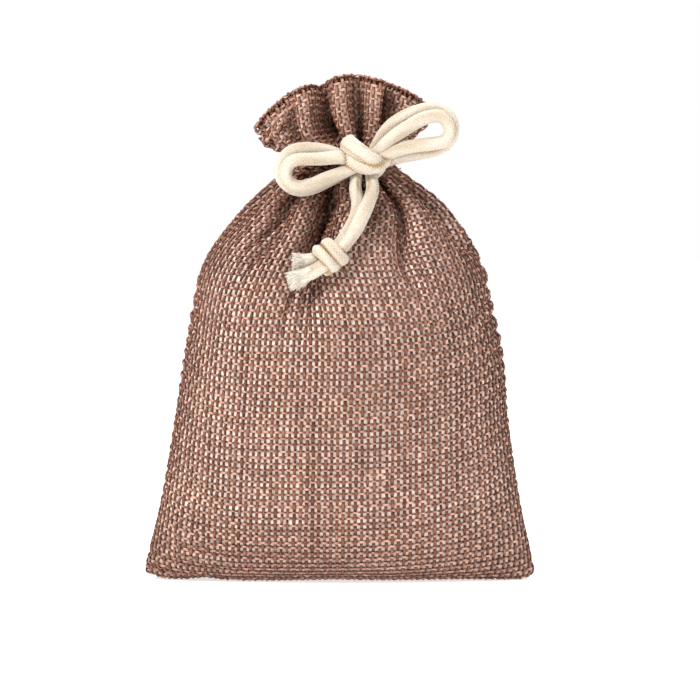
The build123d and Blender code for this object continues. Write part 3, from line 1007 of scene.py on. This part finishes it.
def woven(surface, share, height, phase, yarn):
    """Threads along the surface, which pass over and under others as the phase says."""
    half, (between, along), tone = yarn
    threads, steps = phase.shape
    centres, normals = surface.read(share, height)
    centres = centres + normals * (WAVE * crest(phase) * off_seam(share))[..., None]
    change = 1 + rng.normal(size=(threads, 1)) * between + wandering(threads, steps, along)
    sweep = Sweep()
    sweep.add(ribbons(centres, normals, half, change), distances(centres), shade_of(height, phase, *tone))
    return sweep


def weave_warps(surface, first, last, rows):
    """Threads that run up the pouch, one for each place round it from first to last."""
    number = np.arange(first, last)[:, None]
    steps = rows * STEPS_EACH + 1
    height = np.linspace(0, rows * WEFT_PITCH, steps)[None, :] * np.ones((len(number), 1))
    share = (number + 0.5) / WARP_COUNT + wandering(len(number), steps, THREAD_DRIFT) / WARP_COUNT
    return woven(surface, share, height, math.pi * (height / WEFT_PITCH + number), WARP_YARN)


def weave_wefts(surface, first, last, rows):
    """Threads that run round the pouch, between two places on it, one for each row."""
    number = np.arange(rows)[:, None]
    steps = (last - first) * STEPS_EACH + 1
    share = np.linspace(first, last, steps)[None, :] / WARP_COUNT * np.ones((rows, 1))
    height = (number + 0.5) * WEFT_PITCH + wandering(rows, steps, THREAD_DRIFT) * WEFT_PITCH
    return woven(surface, share, height, -math.pi * (share * WARP_COUNT + number), WEFT_YARN)


def thin_sheet(surface, first, last, heights, tone):
    """A closed thin sheet just inside the threads, between two places round the pouch."""
    share = np.linspace(first, last, 129)[None, :]
    points, normals = surface.read(share, heights[:, None])
    outer = points - normals * GROUND_DEPTH
    inner = points - normals * (GROUND_DEPTH + GROUND_THICK)
    return flat_strip(outer, inner[:, ::-1], heights, tone[None, :, None])


def flat_strip(outer, inner, along, tone):
    """A closed strip between two rows of points, (step, point, xyz)."""
    sweep = Sweep()
    sweep.add(np.concatenate([outer, inner], 1)[None], along[None], tone)
    return sweep


def hem_surface(surface):
    """The cloth turned in over the top: round the fold, then down inside the outer ply."""
    net, normals = surface.net, surface.normals
    upward = unit(net[-1] - net[-3])
    bend = np.linspace(0, math.pi, 7)[:, None, None]
    fold = net[-1] + upward * np.sin(bend) * HEM_GAP / 2 - normals[-1] * (1 - np.cos(bend)) * HEM_GAP / 2
    step = CLOTH_TALL / (len(net) - 1)
    rows = int(HEM_TURN / step)
    inside = net[-2:-2 - rows:-1] - normals[-2:-2 - rows:-1] * HEM_GAP
    tall = math.pi * HEM_GAP / 2 + rows * step
    return Surface(np.concatenate([fold, inside]), tall)


STITCH_RADIUS = 0.17 * MM
STITCH_TAPER = np.array([0.45, 0.85, 1.0, 1.0, 1.0, 0.85, 0.45])


def stitches(surface, places, heights, along, lift):
    """Short raised stitches on the cloth, each a small arched tube that runs (round, up) as along says."""
    part = np.linspace(-0.5, 0.5, len(STITCH_TAPER))
    share = places[:, None] + along[0] * part
    height = heights[:, None] + along[1] * part
    points, normals = surface.read(share, height)
    arch = (lift + STITCH_RADIUS * 0.8 * np.cos(part * math.pi))[None, :, None]
    centres = points + normals * arch
    forward = unit(np.gradient(centres, axis=1))
    side = unit(np.cross(normals, forward))
    turns = np.arange(8) * math.pi / 4
    girth = STITCH_RADIUS * STITCH_TAPER[None, :, None, None]
    ring = (np.cos(turns)[:, None] * side[:, :, None] + np.sin(turns)[:, None] * normals[:, :, None]) * girth
    sweep = Sweep()
    sweep.add(centres[:, :, None] + ring, distances(centres), 0.6)
    return sweep


ALLOWANCE_HALF = 0.55 * MM
ALLOWANCE_REACH = 7.0 * MM


def side_allowance(surface, place):
    """The two raw allowances of a side seam, standing inward from it."""
    heights = np.linspace(8 * MM, 114 * MM, 180)
    points, normals = surface.read(place, heights)
    outward = np.sign(np.median(normals[:, 0])) * np.array([1.0, 0, 0])
    across = np.array([0.0, ALLOWANCE_HALF, 0.0])
    waver = np.zeros_like(points)
    waver[:, 1] = 0.5 * MM * np.sin(heights / (4.1 * MM)) + 0.3 * MM * np.sin(heights / (1.7 * MM))
    root = points - outward * 1.6 * MM
    tip = points - outward * ALLOWANCE_REACH + waver
    return flat_strip(np.stack([root - across, tip - across], 1), np.stack([tip + across, root + across], 1),
                      heights, 0.4)


def bottom_allowance(surface):
    """The two raw allowances of the bottom seam, standing up inside it."""
    share = np.linspace(0.035, 0.465, 129)[None, :]
    heights = np.linspace(0.4 * MM, 6.0 * MM, 16)
    front, _ = surface.read(share, heights[:, None])
    back, _ = surface.read(1 - share, heights[:, None])
    middle = (front + back) / 2
    middle[..., 2] = middle[0, :, 2] + 0.9 * MM + heights[:, None] * 0.9
    middle[..., 1] = 0.4 * MM * np.sin(share * 90)
    half = np.array([0, 0.5 * MM, 0])
    return flat_strip(middle - half, (middle + half)[:, ::-1], heights, 0.4)


def build_cloth():
    surface = Surface(with_seams(relaxed_cloth()), CLOTH_TALL)
    hem = hem_surface(surface)
    half = WARP_COUNT // 2
    hem_rows = int(hem.tall / WEFT_PITCH)
    heights = np.linspace(0.2 * MM, CLOTH_TALL - 0.6 * MM, 178)
    # What shows through the gaps: 1 for the pale filling, lower for painted shade at the bottom seam, round
    # the neck and in the ruffle
    pale = np.interp(heights / MM, [6, 26, 100, 114, 122, 130], [0.50, 1.0, 1.0, 0.40, 0.30, 0.70])
    for side, first in (("front", 0), ("back", half)):
        last = first + half
        sheet = thin_sheet(surface, first / WARP_COUNT, last / WARP_COUNT, heights, pale)
        ground = settle(sheet, f"{side}_ground", GROUND, "pouch", "woven_cloth", f"{side}_panel")
        warps = settle(weave_warps(surface, first, last, WEFT_COUNT), f"{side}_warp", WARP, "pouch",
                       "woven_cloth", f"{side}_channel", f"{side}_header")
        wefts = settle(weave_wefts(surface, first, last, WEFT_COUNT), f"{side}_weft", WEFT, "pouch",
                       "woven_cloth")
        hem_warps = settle(weave_warps(hem, first, last, hem_rows), f"{side}_hem_warp", WARP, "pouch",
                           "facing_cloth", f"{side}_hem_facing")
        hem_wefts = settle(weave_wefts(hem, first, last, hem_rows), f"{side}_hem_weft", WEFT, "pouch",
                           "facing_cloth")
    build_seams(surface)


def build_seams(surface):
    def allowance(sweep, name, node):
        settle(sweep, name, ALLOWANCE, "pouch", "woven_cloth", node)

    def thread(name, node, places, levels, along, lift):
        sweep = stitches(surface, *np.broadcast_arrays(places, levels), along, lift)
        settle(sweep, name, THREAD, "pouch", "sewing_thread", node)

    for side, place in (("left", 0.0), ("right", 0.5)):
        allowance(side_allowance(surface, place), f"{side}_seam_allowance", f"{side}_side_seam")
        thread(f"{side}_seam_stitches", f"{side}_seam_thread", place, np.arange(18 * MM, 115 * MM, 3.0 * MM),
               (0.0, 2.4 * MM), 0.05 * MM)
    allowance(bottom_allowance(surface), "bottom_seam_allowance", "bottom_seam")
    thread("bottom_seam_stitches", "bottom_seam_thread", np.arange(0.045, 0.455, 3.0 * MM / CLOTH_AROUND),
           1.2 * MM, (2.4 * MM / CLOTH_AROUND, 0.0), -0.9 * MM)
    for row, level in (("lower", LOWER_STITCH), ("upper", UPPER_STITCH)):
        thread(f"channel_{row}_stitches", f"channel_{row}_thread", np.arange(0, 1, 2.8 * MM / CLOTH_AROUND),
               level, (2.2 * MM / CLOTH_AROUND, 0.0), 0.5 * MM)


# ---------------- the whole scene

# The braided cotton's first colour is painted shade in grooves, creases and where cords touch, its last a
# painted highlight on the braid's crowns
COTTON = cotton_material("braided_cotton", (0.34, 0.19, 0.075), (0.53, 0.45, 0.345), (0.68, 0.62, 0.54),
                         2200.0)
FRAY = cotton_material("frayed_cotton", (0.44, 0.33, 0.21), (0.68, 0.61, 0.51), (0.80, 0.76, 0.69), 3200.0)
THREAD = cotton_material("stitching_thread", (0.10, 0.05, 0.035), (0.26, 0.14, 0.10), (0.40, 0.24, 0.18),
                         4200.0)
# Each yarn's first colour is painted shade where threads dive, its last a painted highlight on their crests
WARP = yarn_material("warp_yarn", (0.052, 0.017, 0.009), (0.190, 0.083, 0.054), (0.44, 0.255, 0.190), 0.33)
WEFT = yarn_material("weft_yarn", (0.060, 0.020, 0.011), (0.235, 0.106, 0.072), (0.62, 0.378, 0.290), 0.33)
# Its dark colour is painted shade behind the gaps, its pale colour the filling seen through them
GROUND = ground_material("filling_and_shade_sheet", (0.16, 0.080, 0.056), (0.74, 0.62, 0.555))
ALLOWANCE = allowance_material("allowance_cloth", (0.16, 0.075, 0.05), (0.30, 0.155, 0.11))

add_camera()
add_studio()
add_floor()
build_cords()
build_cloth()
